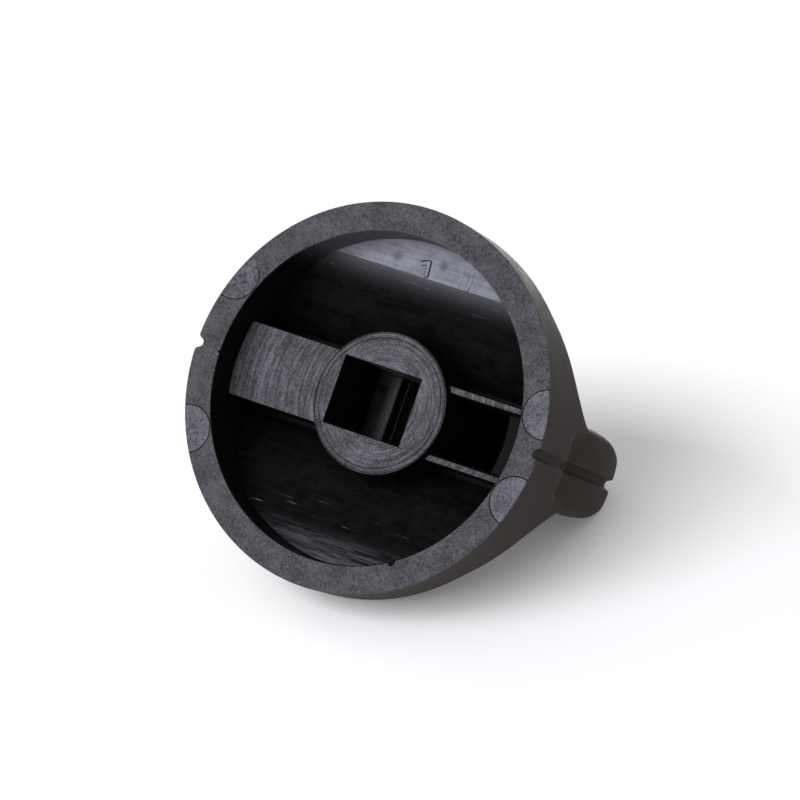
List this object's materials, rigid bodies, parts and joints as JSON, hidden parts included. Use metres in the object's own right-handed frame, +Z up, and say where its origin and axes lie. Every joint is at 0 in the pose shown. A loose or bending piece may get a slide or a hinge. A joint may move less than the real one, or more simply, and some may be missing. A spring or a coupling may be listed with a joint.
{
  "type": "rotary switch knob",
  "caption": "Round moulded knob with a raised finger grip and pointer groove, hollow underneath round a hub with a square shaft socket.",
  "frame": {"origin": "centre of the round rim, on the rim's face", "axes": "+Z up from the rim to the top of the grip, along the turning axis; X along the grip, with the solid bar inside on the -X side and the two ribs on the +X side"},
  "size_m": [0.046, 0.046, 0.0266],
  "materials": {
    "moulding": "satin black, reinforced moulding plastic"
  },
  "bodies": {
    "root": {"knob": "moulding"}
  },
  "joints": []
}
